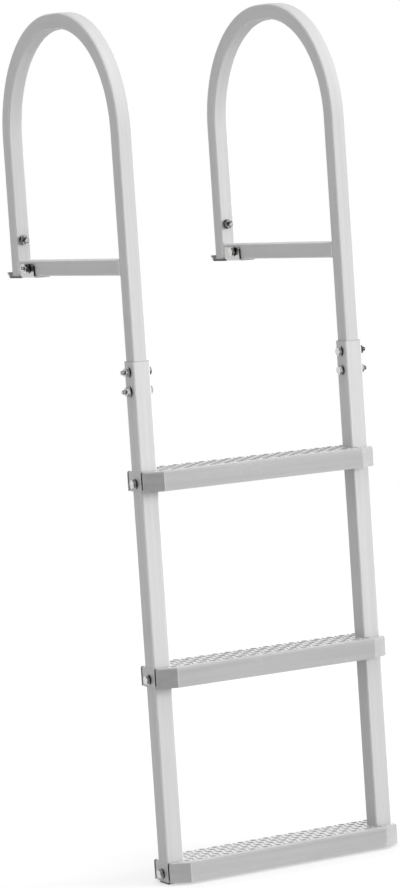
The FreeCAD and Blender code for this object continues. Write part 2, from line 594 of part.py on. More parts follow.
TURNS = {
    "+x": FreeCAD.Rotation(FreeCAD.Vector(0, 1, 0), 90),
    "-x": FreeCAD.Rotation(FreeCAD.Vector(0, 1, 0), -90),
    "+y": FreeCAD.Rotation(FreeCAD.Vector(1, 0, 0), -90),
    "-y": FreeCAD.Rotation(FreeCAD.Vector(1, 0, 0), 90),
}


def make_bolt(name, place, towards, grip):
    """Hexagon bolt with its washer, head on the given side of what it grips."""
    body = new_body("bolt_%s" % name, *place)
    body.Placement.Rotation = TURNS[towards]
    washer = {"Radius": "Sizes.washer_width / 2", "Height": "Sizes.washer_sheet"}
    add_primitive(body, "AdditiveCylinder", "washer", washer, "0")
    head = {"Circumradius": "Sizes.head_flats / sqrt(3)", "Height": "Sizes.head_height"}
    add_primitive(body, "AdditivePrism", "head", head, "Sizes.washer_sheet")
    length = "(%s + Sizes.washer_sheet + Sizes.nut_height + Sizes.thread_end)" % grip
    shank = {"Radius": "Sizes.bolt_size / 2", "Height": length}
    add_primitive(body, "AdditiveCylinder", "shank", shank, "-%s" % length)


def make_nut(name, place, towards):
    """Hexagon nut with its washer, on the other side of what the bolt grips."""
    body = new_body("nut_%s" % name, *place)
    body.Placement.Rotation = TURNS[towards]
    washer = {"Radius": "Sizes.washer_width / 2", "Height": "Sizes.washer_sheet"}
    add_primitive(body, "AdditiveCylinder", "washer", washer, "0")
    hexagon = {"Circumradius": "Sizes.head_flats / sqrt(3)", "Height": "Sizes.nut_height"}
    add_primitive(body, "AdditivePrism", "hexagon", hexagon, "Sizes.washer_sheet")
    through = "Sizes.washer_sheet + Sizes.nut_height"
    bore = {"Radius": "Sizes.bolt_size / 2 + Sizes.nut_gap", "Height": through}
    add_primitive(body, "SubtractiveCylinder", "bore", bore, "0")


def fasten(name, x, y, z, towards, head_reach, nut_reach):
    """Bolt along X through a tube centred on x; towards is the side of its head, 1 or -1."""
    way = {1: "+x", -1: "-x"}
    head_x = "(%s + %d * %s)" % (x, towards, head_reach)
    nut_x = "(%s - %d * %s)" % (x, towards, nut_reach)
    make_bolt(name, (head_x, y, z), way[towards], "(%s + %s)" % (head_reach, nut_reach))
    make_nut(name, (nut_x, y, z), way[-towards])


def make_fasteners(side, x, inward):
    """Every bolt and nut of one side. Heads face inward, but the step bolts' heads face outward."""
    rail_half = "(%s / 2)" % RAIL_SIDE
    for level, drop in SLEEVE_DROPS.items():
        bolt_z = "%s - %s" % (RAIL_TOP_Z, drop)
        fasten("sleeve_%s_%s" % (side, level), x, FRONT_Y, bolt_z, inward, rail_half, rail_half)
    tab_face = "(%s + Sizes.step_sheet)" % rail_half
    for name, index in STEPS.items():
        bolt_z = "%s - Sizes.step_bolt_drop" % (TREAD_Z % index)
        fasten("step_%s_%s" % (name, side), x, FRONT_Y, bolt_z, -inward, tab_face, rail_half)
    arm_y = "%s - %s" % (REAR_Y, ARM_BOLT_REACH)
    arm_z = "%s + Sizes.tube_side / 2" % FOOT_Z
    ear_face = "(Sizes.tube_side / 2 + Sizes.bracket_plate)"
    fasten("arm_%s" % side, x, arm_y, arm_z, inward, ear_face, ear_face)
    dock_z = "%s + Sizes.dock_bolt_rise" % FOOT_Z
    make_bolt("dock_%s" % side, (x, "%s + Sizes.tube_side / 2" % REAR_Y, dock_z), "+y", "Sizes.tube_side")
    make_nut("dock_%s" % side, (x, "%s - Sizes.tube_side / 2" % REAR_Y, dock_z), "-y")


def check_and_write():
    """Stop on any failed object or faulty solid, then write one file for each node."""
    doc.recompute()
    for item in doc.Objects:
        if "Invalid" in item.State or "Error" in item.State:
            raise ValueError("%s did not build: %s" % (item.Name, item.State))
    for body in nodes:
        shape = body.Shape
        if shape.isNull() or not shape.isValid() or len(shape.Solids) != 1:
            raise ValueError("%s is not one valid solid" % body.Label)
    os.makedirs("parts", exist_ok=True)
    for body in nodes:
        body.Shape.exportStep("parts/%s.step" % body.Label)


fill_sheet()
for side_name, centre_x, towards_middle in SIDES:
    make_handrail(side_name, centre_x)
    make_arm(side_name, centre_x)
    make_lower_rail(side_name, centre_x)
    make_plug(side_name, centre_x)
    make_bracket(side_name, centre_x)
    make_fasteners(side_name, centre_x, towards_middle)
for step_name, step_index in STEPS.items():
    make_step(step_name, step_index)
check_and_write()
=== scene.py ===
import math
import random

import bmesh
import bpy
from mathutils import Matrix, Vector


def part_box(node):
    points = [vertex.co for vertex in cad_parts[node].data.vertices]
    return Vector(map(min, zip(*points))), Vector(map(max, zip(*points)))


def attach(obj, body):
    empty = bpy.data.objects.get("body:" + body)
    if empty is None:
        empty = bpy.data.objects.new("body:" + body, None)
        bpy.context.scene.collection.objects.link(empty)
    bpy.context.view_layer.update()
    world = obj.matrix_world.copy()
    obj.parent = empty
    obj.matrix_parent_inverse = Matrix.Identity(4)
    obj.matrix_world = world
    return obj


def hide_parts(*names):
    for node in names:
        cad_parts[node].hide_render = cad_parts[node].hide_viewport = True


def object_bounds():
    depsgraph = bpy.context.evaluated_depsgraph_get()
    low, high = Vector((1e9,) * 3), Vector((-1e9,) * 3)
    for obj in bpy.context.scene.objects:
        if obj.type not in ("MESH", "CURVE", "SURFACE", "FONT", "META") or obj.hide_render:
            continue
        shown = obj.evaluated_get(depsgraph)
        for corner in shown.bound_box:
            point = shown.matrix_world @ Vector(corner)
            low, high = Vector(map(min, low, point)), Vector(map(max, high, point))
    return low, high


bl_info = {
    "name": "Swim Ladder",
    "version": (1, 0, 0),
    "blender": (4, 5, 0),
    "location": "View3D > Sidebar > Swim Ladder",
    "description": "Bolts, raised treads, weld beads, finishes and stage for a dock ladder",
    "category": "Add Mesh",
}

# The ladder's frame: +X to the climber's right, +Y towards the dock, +Z up, metres.
# The origin is under the left deck bracket.
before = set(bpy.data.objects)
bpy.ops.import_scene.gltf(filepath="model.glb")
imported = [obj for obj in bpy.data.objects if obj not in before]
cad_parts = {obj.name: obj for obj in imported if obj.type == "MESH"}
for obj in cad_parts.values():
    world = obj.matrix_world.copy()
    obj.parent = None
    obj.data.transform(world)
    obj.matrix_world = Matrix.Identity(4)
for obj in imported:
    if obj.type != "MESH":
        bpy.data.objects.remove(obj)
cad_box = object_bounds()

SIDES = ("left", "right")
STEPS = ("top", "middle", "bottom")
Z_AXIS = Vector((0, 0, 1))

# Way that each group's bolt heads face on the left side of the ladder
HEAD_WAYS = {
    "sleeve": Vector((1, 0, 0)),
    "arm": Vector((1, 0, 0)),
    "dock": Vector((0, 1, 0)),
    "step": Vector((-1, 0, 0)),
}


def box_centre(node):
    low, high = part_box(node)
    return (low + high) / 2


RAIL_LOW, RAIL_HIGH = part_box("lower_rail_left")
RAIL_HALF = (RAIL_HIGH.x - RAIL_LOW.x) / 2
ARM_LOW, ARM_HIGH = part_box("deck_arm_left")
TUBE_SIDE = ARM_HIGH.x - ARM_LOW.x
HOOP_LOW, HOOP_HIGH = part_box("handrail_left")
LEG_SPACING = HOOP_HIGH.y - HOOP_LOW.y - TUBE_SIDE
SPACING = box_centre("lower_rail_right").x - box_centre("lower_rail_left").x

# Straight run at the top of a handrail, between its two bends
CROWN_RUN = 0.021

# How far a tread's corner facets reach in from its ends
FACET_RUN = 0.0284

# Thickness of the sheets that the treads and the deck brackets are folded from
TREAD_SHEET = 0.002
BRACKET_SHEET = 0.003

# Slope of the turned chamfer on bolt heads and nuts
CHAMFER = math.tan(math.radians(28))

# Rings of a rib's rounded back, as shares of its outline and its height; the first is sunk in the tread
RIB_RINGS = ((1.0, -0.1), (0.82, 0.40), (0.58, 0.78), (0.28, 1.0))

# Distances from a fold, and from a tube's cut end, at which a band of another shade starts and is full
# The band beside a fold is a painted highlight
FOLD_HIGHLIGHT_BAND = (0.0022, 0.0006)
# The band below a tube's cut end is painted shade
TOP_SHADE_BAND = (0.0016, 0.0008)

# How far a face has to face a way to start to count, and to count in full; 1 is straight that way
FRONT_FACING = (0.97, 0.99)
TOP_FACING = (0.9, 0.99)
EDGE_FACING = (0.93, 0.98)

# Marks on drawn tube and on rolled tread sheet: scales of the grain and of the marks of use, how far streaks
# go lighter and darker, the shade of the grain, and the strength and shade of smudges and of scratches
TUBE_MARKS = {
    "grain": {"Fine": 1500.0, "Coarse": 160.0, "Stretch": 0.02},
    "handling": {"Spread": 22.0},
    "streaks": 0.03, "grained": 0.86, "smudges": (0.10, 0.88), "scratches": (0.35, 1.35),
}
TREAD_MARKS = {
    "grain": {"Fine": 1100.0, "Coarse": 120.0, "Stretch": 0.03},
    "handling": {"Spread": 30.0},
    "streaks": 0.04, "grained": 0.85, "smudges": (0.14, 0.84), "scratches": (0.40, 1.40),
}

# How much lighter aluminium is in painted highlights on corners, folds and tops, and where feet have worn it
POLISH_AND_HIGHLIGHT = 1.6

# Node groups and materials, by the short names under which they are looked up
groups = {}
materials = {}


# Properties

def length(name, description, value):
    return bpy.props.FloatProperty(name=name, description=description, default=value, min=0, precision=5,
                                   unit="LENGTH")


def level(name, description, value):
    return bpy.props.FloatProperty(name=name, description=description, default=value, min=0)


def share(name, description, value):
    return bpy.props.FloatProperty(name=name, description=description, default=value, min=0, max=1,
                                   subtype="FACTOR")


def colour(name, description, value):
    return bpy.props.FloatVectorProperty(name=name, description=description, default=value, size=3, min=0,
                                         max=1, subtype="COLOR")


class LadderSizes(bpy.types.PropertyGroup):
    """Sizes of the pieces that are dressed onto the frame."""
    bolt_size: length("Bolt", "Nominal diameter of the through bolts", 0.008)
    head_flats: length("Head", "Bolt heads and nuts across flats", 0.013)
    head_height: length("Head height", "Height of a bolt head", 0.0053)
    washer_width: length("Washer", "Outside diameter of a washer", 0.016)
    washer_sheet: length("Washer thickness", "Thickness of a washer", 0.0016)
    nut_height: length("Nut height", "Height of a nut", 0.0065)
    thread_pitch: length("Thread pitch", "Rise of the thread in one turn", 0.00125)
    thread_depth: length("Thread depth", "Height of the thread's ridge", 0.00062)
    rib_pitch: length("Rib pitch", "From one raised rib to the next, along and across the tread", 0.0117)
    rib_length: length("Rib length", "Length of a raised rib", 0.0116)
    rib_width: length("Rib width", "Width of a raised rib", 0.0042)
    rib_height: length("Rib height", "Height of a raised rib above the tread", 0.0012)
    smooth_front: length("Smooth front", "Plain strip along the front edge of a tread", 0.0145)
    smooth_back: length("Smooth back", "Plain strip along the back edge of a tread", 0.003)
    bead_radius: length("Weld bead", "Radius of a weld bead", 0.0019)
    bead_step: length("Bead ripple", "Length of one ripple of a weld bead", 0.0011)


class LadderFinish(bpy.types.PropertyGroup):
    """Colours and gloss of the ladder's materials."""
    tube_colour: colour("Tube", "Satin anodised tube", (0.585, 0.585, 0.585))
    tube_roughness: share("Tube roughness", "Roughness of the anodised tube", 0.45)
    tread_colour: colour("Tread", "Folded tread sheet", (0.55, 0.55, 0.55))
    tread_roughness: share("Tread roughness", "Roughness of the tread sheet", 0.46)
    steel_colour: colour("Stainless", "Bolts, nuts and washers", (0.65, 0.65, 0.645))
    sheet_steel: colour("Stainless sheet", "Rolled sheet of the deck brackets", (0.56, 0.56, 0.555))
    # Near black: painted shade on sheared edges where shadow falls on them
    edge_shade_colour: colour("Edge shade", "Painted shade on sheared edges of washers, brackets and treads", (0.045, 0.045, 0.045))
    steel_roughness: share("Stainless roughness", "Roughness of the stainless steel", 0.10)
    plug_colour: colour("Foot plug", "Moulded plastic of the foot plugs", (0.028, 0.028, 0.030))
    grain: share("Grain", "How strongly the lengthwise grain shows", 0.35)
    # Painted highlight on the tubes' rounded corners
    corner_highlight: share("Corner highlight", "How much brighter the tubes' corners are", 0.55)


class LadderStage(bpy.types.PropertyGroup):
    """Light, floor and camera."""
    key_strength: level("Key light", "Strength of the soft light from the front right", 3.72)
    fill_strength: level("Fill light", "Strength of the soft light from the left", 0.15)
    top_strength: level("Top light", "Strength of the soft light from above", 1.25)
    back_strength: level("Back light", "Strength of the soft light from behind", 0.5)
    ambient: share("Ambient", "Strength of the light from all round", 0.51)
    room: share("Room", "How bright the room before the ladder looks in polished steel", 0.05)
    window: share("Window", "How bright the room's right side looks in polished steel", 0.42)
    strip: share("Strip", "How bright the strip of light at the front right looks in polished steel", 0.95)
    floor_shade: share("Floor shade", "How light the floor is", 0.42)
    floor_dimmed: share("Dim floor", "How light the floor before the ladder looks in polished steel", 0.08)
    floor_glow: share("Floor glow", "How far the floor is lifted towards white", 0.56)
    floor_size: length("Floor", "Width of the floor", 9.0)
    lamp_distance: length("Lamp distance", "Where the lamps stand; their light is even at any distance", 3.0)
    lens: bpy.props.FloatProperty(name="Lens", description="Focal length in millimetres on a 36 mm frame",
                                  default=140.0, min=1)
    camera_place: bpy.props.FloatVectorProperty(
        name="Camera place", description="Camera from the left rail's line, at deck level",
        default=(-2.4534, -4.7020, 0.1781), size=3, subtype="TRANSLATION", unit="LENGTH")
    camera_turn: bpy.props.FloatVectorProperty(
        name="Camera turn", description="How the camera is turned",
        default=(1.48751, 0.06717, -0.50320), size=3, subtype="EULER", unit="ROTATION")


def sizes():
    return bpy.context.scene.ladder_sizes


def finishes():
    return bpy.context.scene.ladder_finish


def staging():
    return bpy.context.scene.ladder_stage


# Shader nodes

class Graph:
    """Short ways to add and join the nodes of one tree."""

    def __init__(self, tree):
        self.tree = tree

    def feed(self, node, inputs):
        """Link other nodes' outputs to a node's inputs, by name or place, or set the inputs' own values."""
        for name, value in inputs.items():
            if isinstance(value, bpy.types.NodeSocket):
                self.tree.links.new(value, node.inputs[name])
            else:
                node.inputs[name].default_value = value

    def node(self, kind, inputs=None, **settings):
        """Add a node, set its options and feed its inputs."""
        made = self.tree.nodes.new(kind)
        for name, value in settings.items():
            setattr(made, name, value)
        self.feed(made, inputs or {})
        return made

    def math(self, operation, *values, clamp=False):
        """Output of a Math node."""
        inputs = dict(enumerate(values))
        return self.node("ShaderNodeMath", inputs, operation=operation, use_clamp=clamp).outputs[0]

    def times(self, first, second):
        """Product of two values."""
        return self.math("MULTIPLY", first, second)

    def remap(self, value, low, high, to_low=0.0, to_high=1.0):
        """Value moved smoothly from one range to another, clamped."""
        inputs = {"Value": value, "From Min": low, "From Max": high, "To Min": to_low, "To Max": to_high}
        return self.node("ShaderNodeMapRange", inputs, interpolation_type="SMOOTHSTEP").outputs["Result"]

    def split(self, vector):
        """The x, y and z of a vector."""
        return self.node("ShaderNodeSeparateXYZ", {0: vector}).outputs

    def join(self, x, y, z):
        """A vector of three numbers."""
        return self.node("ShaderNodeCombineXYZ", {0: x, 1: y, 2: z}).outputs[0]

    def vector_math(self, operation, first, second):
        """Output of a Vector Math node."""
        return self.node("ShaderNodeVectorMath", {0: first, 1: second}, operation=operation).outputs[0]

    def place(self):
        """Place on the ladder, in its own coordinates."""
        return self.node("ShaderNodeTexCoord").outputs["Object"]

    def facing(self):
        """The x, y and z of the way that the surface faces."""
        return self.split(self.node("ShaderNodeNewGeometry").outputs["Normal"])

    def noise(self, vector, scale, detail=2.0, roughness=0.5):
        """Noise from 0 to 1."""
        inputs = {"Vector": vector, "Scale": scale, "Detail": detail, "Roughness": roughness}
        return self.node("ShaderNodeTexNoise", inputs).outputs["Fac"]

    def blend(self, mask, first, second):
        """Colour between two others."""
        return self.node("ShaderNodeMix", {0: mask, 6: first, 7: second}, data_type="RGBA").outputs[2]

    def bump(self, strength, distance, height):
        """Surface direction bent by a height."""
        inputs = {"Strength": strength, "Distance": distance, "Height": height}
        return self.node("ShaderNodeBump", inputs).outputs[0]

    def grouped(self, name, inputs):
        """Outputs of one of the ladder's node groups."""
        return self.node("ShaderNodeGroup", inputs, node_tree=groups[name]).outputs


def new_group(name, inputs, outputs):
    """Node group with named sockets and masks as outputs; returns it with its graph and input sockets."""
    group = bpy.data.node_groups.new(name, "ShaderNodeTree")
    for socket, kind, value in inputs:
        made = group.interface.new_socket(socket, in_out="INPUT", socket_type=kind)
        if value is not None:
            made.default_value = value
    for socket in outputs:
        group.interface.new_socket(socket, in_out="OUTPUT", socket_type="NodeSocketFloat")
    graph = Graph(group)
    return group, graph, graph.node("NodeGroupInput").outputs


def grain_group():
    """Drawing lines along tube or rolled sheet. Lane runs along the piece in z, and across it in x and y."""
    group, graph, given = new_group(
        "lengthwise_grain",
        [("Lane", "NodeSocketVector", None), ("Fine", "NodeSocketFloat", 1500.0),
         ("Coarse", "NodeSocketFloat", 160.0), ("Stretch", "NodeSocketFloat", 0.02)],
        ["Grain", "Streak"],
    )
    x, y, z = graph.split(given["Lane"])
    lane = graph.join(x, y, graph.times(z, given["Stretch"]))
    fine = graph.noise(lane, given["Fine"], detail=3.0, roughness=0.65)
    coarse = graph.noise(lane, given["Coarse"])
    graph.node("NodeGroupOutput", {"Grain": fine, "Streak": coarse})
    return group


def handling_group():
    """Faint marks of use: soft smudges and a few fine scratches, as two masks."""
    group, graph, given = new_group(
        "handling_marks",
        [("Place", "NodeSocketVector", None), ("Spread", "NodeSocketFloat", 22.0),
         ("Scratch Scale", "NodeSocketFloat", 60.0)],
        ["Smudge", "Scratch"],
    )
    smudge = graph.noise(given["Place"], given["Spread"], detail=4.0, roughness=0.6)
    bent = graph.noise(given["Place"], 35.0, detail=1.0)
    sway = graph.vector_math("MULTIPLY", graph.join(bent, bent, bent), (0.02, 0.03, 0.012))
    wander = graph.vector_math("ADD", given["Place"], sway)
    lines = graph.node("ShaderNodeTexWave", {"Vector": wander, "Scale": given["Scratch Scale"],
                                             "Distortion": 6.0, "Detail": 2.0, "Detail Scale": 1.5},
                       wave_type="BANDS", bands_direction="DIAGONAL").outputs["Fac"]
    thin = graph.remap(lines, 0.985, 1.0)
    patches = graph.remap(graph.noise(given["Place"], 14.0), 0.56, 0.66)
    graph.node("NodeGroupOutput", {"Smudge": smudge, "Scratch": graph.times(thin, patches)})
    return group


def corner_group():
    """Mask of a square tube's rounded corners: its sides face along X or straight across it."""
    group, graph, given = new_group("tube_corners", [("Sharpness", "NodeSocketFloat", 1.0)], ["Corner"])
    x = graph.facing()[0]
    squared = graph.times(x, x)
    both = graph.times(squared, graph.math("SUBTRACT", 1.0, squared))
    peak = graph.math("MULTIPLY", both, 4.0, clamp=True)
    graph.node("NodeGroupOutput", {"Corner": graph.math("POWER", peak, given["Sharpness"])})
    return group


def tread_light_and_wear_group():
    """Masks of a tread for painted light and wear: upright folds beside its front, level top, the top's worn
    part, and sheared ends.
    """
    group, graph, given = new_group("tread_light_and_wear", [("Place", "NodeSocketVector", None)],
                                    ["Fold", "Top", "Worn And Sheen", "Cut"])
    low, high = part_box("step_top")
    half_length = (high.x - low.x) / 2
    fold_line = half_length - FACET_RUN
    strip_end = low.y + sizes().smooth_front
    x, y = graph.split(given["Place"])[0:2]
    forward, up = graph.facing()[1:3]
    from_middle = graph.math("ABSOLUTE", graph.math("SUBTRACT", x, (low.x + high.x) / 2))
    near_fold = graph.remap(from_middle, fold_line - FOLD_HIGHLIGHT_BAND[0], fold_line - FOLD_HIGHLIGHT_BAND[1])
    upright = graph.remap(graph.math("ABSOLUTE", forward), *FRONT_FACING)
    top = graph.remap(up, *TOP_FACING)
    past_strip = graph.remap(y, strip_end - 0.001, strip_end + 0.002)
    near_end = graph.remap(from_middle, half_length - TREAD_SHEET * 1.2, half_length - TREAD_SHEET * 0.9)
    outward = graph.times(forward, graph.math("SUBTRACT", y, (low.y + high.y) / 2))
    outer_end = graph.times(near_end, graph.remap(outward, 0.0, 0.002))
    # Fold and Top carry painted highlights; the worn top is wear and painted sheen; Cut carries painted
    # shade
    graph.node("NodeGroupOutput", {"Fold": graph.times(near_fold, upright), "Top": top,
                                   "Worn And Sheen": graph.times(top, past_strip),
                                   "Cut": graph.times(outer_end, upright)})
    return group


def new_material(name):
    """Material with an empty tree; returns it with its graph and its surface shader."""
    material = bpy.data.materials.new(name)
    material.use_nodes = True
    material.node_tree.nodes.clear()
    graph = Graph(material.node_tree)
    shader = graph.node("ShaderNodeBsdfPrincipled")
    graph.node("ShaderNodeOutputMaterial", {"Surface": shader.outputs[0]})
    return material, graph, shader


def tinted(colour_value, factor=1.0):
    """Solid colour, made lighter or darker by a factor."""
    return (*[min(1.0, part * factor) for part in colour_value], 1.0)


def straight_lane(graph, along):
    """Lane coordinates of a straight piece: its run in z and the other two ways in x and y."""
    x, y, z = graph.split(graph.place())
    ways = {"X": (y, z, x), "Y": (x, z, y), "Z": (x, y, z)}
    return graph.join(*ways[along])


def hoop_lane(graph):
    """Lane coordinates of a handrail: z runs along its line, y is the distance from the bends' centres."""
    x, y, z = graph.split(graph.place())
    bend = LEG_SPACING / 2 - CROWN_RUN / 2
    centre_z = HOOP_HIGH.z - TUBE_SIDE / 2 - bend
    across = graph.math("SUBTRACT", y, (HOOP_LOW.y + HOOP_HIGH.y) / 2)
    past_crown = graph.math("SUBTRACT", graph.math("ABSOLUTE", across), CROWN_RUN / 2)
    outside = graph.math("MAXIMUM", past_crown, 0.0)
    above = graph.math("MAXIMUM", graph.math("SUBTRACT", z, centre_z), 0.0)
    squares = graph.math("ADD", graph.times(outside, outside), graph.times(above, above))
    return graph.join(x, graph.math("SQRT", squares), graph.math("ADD", y, z))


def marked_metal(graph, colour_value, marks, lane):
    """Colour of drawn or rolled metal with its marks; returns it with the grain and the smudges."""
    grain, streak = graph.grouped("grain", {"Lane": lane, **marks["grain"]})
    smudge, scratch = graph.grouped("handling", {"Place": graph.place(), **marks["handling"]})
    smudged, smudge_shade = marks["smudges"]
    scratched, scratch_shade = marks["scratches"]
    base = graph.blend(graph.remap(streak, 0.3, 0.7), tinted(colour_value, 1 - marks["streaks"]),
                       tinted(colour_value, 1 + marks["streaks"]))
    graining = graph.times(grain, finishes().grain * 0.3)
    base = graph.blend(graining, base, tinted(colour_value, marks["grained"]))
    smudging = graph.remap(smudge, 0.45, 0.75, 0.0, smudged)
    base = graph.blend(smudging, base, tinted(colour_value, smudge_shade))
    base = graph.blend(graph.times(scratch, scratched), base, tinted(colour_value, scratch_shade))
    return base, grain, smudge


def tube_material(name, lane_maker, shade=1.0, shaded_top_height=None):
    """Clear anodised satin tube with drawing lines, faint marks, painted corner highlights and painted
    cut-end shade.
    """
    material, graph, shader = new_material(name)
    finish = finishes()
    colour_value = [part * shade for part in finish.tube_colour]
    base, grain, smudge = marked_metal(graph, colour_value, TUBE_MARKS, lane_maker(graph))
    corner = graph.grouped("corner", {"Sharpness": 1.5})[0]
    # Painted highlight: the rounded corners are lightened
    base = graph.blend(graph.times(corner, finish.corner_highlight), base, tinted(colour_value, POLISH_AND_HIGHLIGHT))
    # Painted shade: a dark band just below the tube's cut top end
    if shaded_top_height is not None:
        height = graph.split(graph.place())[2]
        cut = graph.remap(height, shaded_top_height - TOP_SHADE_BAND[0], shaded_top_height - TOP_SHADE_BAND[1], 0.0, 0.35)
        base = graph.blend(cut, base, tinted(colour_value, 0.3))
    rough = graph.remap(grain, 0.2, 0.8, finish.tube_roughness - 0.05, finish.tube_roughness + 0.05)
    rough = graph.math("ADD", rough, graph.remap(smudge, 0.4, 0.8, 0.0, 0.08))
    rough = graph.math("SUBTRACT", rough, graph.times(corner, 0.10), clamp=True)
    bump = graph.bump(finish.grain, 0.00004, grain)
    graph.feed(shader, {"Base Color": base, "Roughness": rough, "Normal": bump, "Metallic": 0.05})
    return material


def tread_material(name, ribs):
    """Tread sheet, painted lighter on its folds and top and bare where feet have worn it; or its ribs,
    rubbed and painted bright.
    """
    material, graph, shader = new_material(name)
    finish = finishes()
    base, grain = marked_metal(graph, finish.tread_colour, TREAD_MARKS, straight_lane(graph, "X"))[0:2]
    fold, top, trodden_and_sheen, cut = graph.grouped("tread_light_and_wear", {"Place": graph.place()})
    polish_and_highlight = tinted(finish.tread_colour, POLISH_AND_HIGHLIGHT)
    if ribs:
        # Ribs lighter all over as rubbed metal, with a painted highlight on their tops
        base = graph.blend(graph.math("ADD", 0.4, graph.times(top, 0.5)), base, polish_and_highlight)
        rough = finish.tread_roughness - 0.20
        metal = 0.62
    else:
        # Painted highlights on folds and the level top; the worn top past the front strip is wear and
        # painted sheen
        lit = graph.times(graph.math("MAXIMUM", fold, top), 0.45)
        lit = graph.math("MAXIMUM", lit, graph.times(trodden_and_sheen, 0.86))
        base = graph.blend(lit, base, polish_and_highlight)
        # Painted shade: the outer cut ends near black, shaded in the slits beside the rails
        base = graph.blend(cut, base, tinted(finish.edge_shade_colour))
        rough = graph.remap(grain, 0.2, 0.8, finish.tread_roughness - 0.06, finish.tread_roughness + 0.06)
        rough = graph.math("SUBTRACT", rough, graph.times(trodden_and_sheen, 0.22), clamp=True)
        metal = graph.math("ADD", 0.33, graph.times(trodden_and_sheen, 0.5))
    bump = graph.bump(finish.grain, 0.00005, grain)
    graph.feed(shader, {"Base Color": base, "Roughness": rough, "Normal": bump, "Metallic": metal,
                        "Specular IOR Level": 0.12})
    return material


def steel_material(name, colour_value, roughness, darkness, edge_mask=None):
    """Stainless steel with fine forming marks, darker in its smudges, with painted near-black shade on
    sheared edges.
    """
    material, graph, shader = new_material(name)
    place = graph.place()
    smudge, scratch = graph.grouped("handling", {"Place": place, "Spread": 260.0, "Scratch Scale": 420.0})
    fine = graph.noise(place, 2600.0)
    base = graph.blend(graph.remap(smudge, 0.35, 0.7, 0.0, darkness), tinted(colour_value),
                       tinted(colour_value, 0.45))
    base = graph.blend(graph.times(scratch, 0.5), base, tinted(colour_value, 1.3))
    if edge_mask is not None:
        # Painted shade: the masked sheared edges near black
        base = graph.blend(edge_mask(graph), base, tinted(finishes().edge_shade_colour))
    rough = graph.math("ADD", graph.remap(fine, 0.3, 0.7, roughness - 0.03, roughness + 0.04),
                       graph.remap(smudge, 0.4, 0.8, 0.0, 0.05))
    bump = graph.bump(0.25, 0.00003, fine)
    graph.feed(shader, {"Base Color": base, "Roughness": rough, "Normal": bump, "Metallic": 1.0})
    return material


def bracket_edge_shade(graph):
    """Mask of painted shade on a deck bracket's sheared edges: the ends of its ears and the sides of its
    foot.
    """
    sideways, forward = [graph.math("ABSOLUTE", part) for part in graph.facing()[0:2]]
    foot_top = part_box("deck_bracket_left")[0].z + BRACKET_SHEET
    above = graph.remap(graph.split(graph.place())[2], foot_top - 0.0002, foot_top + 0.0002)
    foot_side = graph.times(graph.remap(sideways, *EDGE_FACING), graph.math("SUBTRACT", 1.0, above))
    ear_end = graph.times(graph.remap(forward, *EDGE_FACING), above)
    return graph.math("MAXIMUM", ear_end, foot_side)


def weld_highlight_material():
    """Weld metal, a little mottled, painted lighter than the tube as a highlight along the joints."""
    material, graph, shader = new_material("weld_metal_highlight")
    aluminium = finishes().tube_colour
    mottle = graph.noise(graph.place(), 900.0, detail=3.0)
    # Painted highlight: the weld metal lighter than the tube
    base = graph.blend(graph.remap(mottle, 0.35, 0.7), tinted(aluminium, 1.5), tinted(aluminium, 1.1))
    rough = graph.remap(mottle, 0.3, 0.7, 0.3, 0.45)
    bump = graph.bump(0.4, 0.00005, mottle)
    graph.feed(shader, {"Base Color": base, "Roughness": rough, "Normal": bump, "Metallic": 0.3})
    return material


def plug_material():
    """Moulded black plastic with a fine matt grain and lighter scuffs."""
    material, graph, shader = new_material("plug_plastic")
    plastic = finishes().plug_colour
    place = graph.place()
    grain = graph.noise(place, 1800.0)
    smudge, scratch = graph.grouped("handling", {"Place": place, "Spread": 120.0})
    base = graph.blend(graph.remap(smudge, 0.4, 0.75, 0.0, 0.5), tinted(plastic), tinted(plastic, 2.2))
    base = graph.blend(scratch, base, tinted(plastic, 4.0))
    rough = graph.remap(grain, 0.3, 0.7, 0.5, 0.68)
    graph.feed(shader, {"Base Color": base, "Roughness": rough, "Normal": graph.bump(0.5, 0.00006, grain)})
    return material


# Meshes

def round_ring(radius, height):
    """Ring of a lathe: a circle."""
    return lambda angle: (radius, height)


def hexagon_ring(apothem, height, slope=0.0):
    """Ring of a lathe on a hexagon's sides; slope drops it towards the corners, as a turned chamfer does."""
    side = math.radians(60)

    def spot(angle):
        reach = apothem / math.cos((angle % side) - side / 2)
        return reach, height - slope * (reach - apothem)

    return spot


def settle(verts, ring):
    """Move each vertex, by its angle round z, to its place on a ring."""
    for vert in verts:
        angle = math.atan2(vert.co.y, vert.co.x)
        reach, height = ring(angle)
        vert.co = (reach * math.cos(angle), reach * math.sin(angle), height)


def add_lathe(mesh, rings, segments, closed=False):
    """Skin over rings about z. The ends are filled, or joined to each other where closed."""
    start = bmesh.ops.create_circle(mesh, segments=segments, radius=1)["verts"]
    settle(start, rings[0])
    first = edges = list({edge for vert in start for edge in vert.link_edges})
    everything = list(start)
    for ring in rings[1:]:
        grown = bmesh.ops.extrude_edge_only(mesh, edges=edges)["geom"]
        verts = [item for item in grown if isinstance(item, bmesh.types.BMVert)]
        grown_edges = [item for item in grown if isinstance(item, bmesh.types.BMEdge)]
        fresh = set(verts)
        edges = [edge for edge in grown_edges if fresh.issuperset(edge.verts)]
        settle(verts, ring)
        everything += verts
    if closed:
        bmesh.ops.bridge_loops(mesh, edges=first + edges)
    else:
        bmesh.ops.holes_fill(mesh, edges=first + edges, sides=0)
    return everything


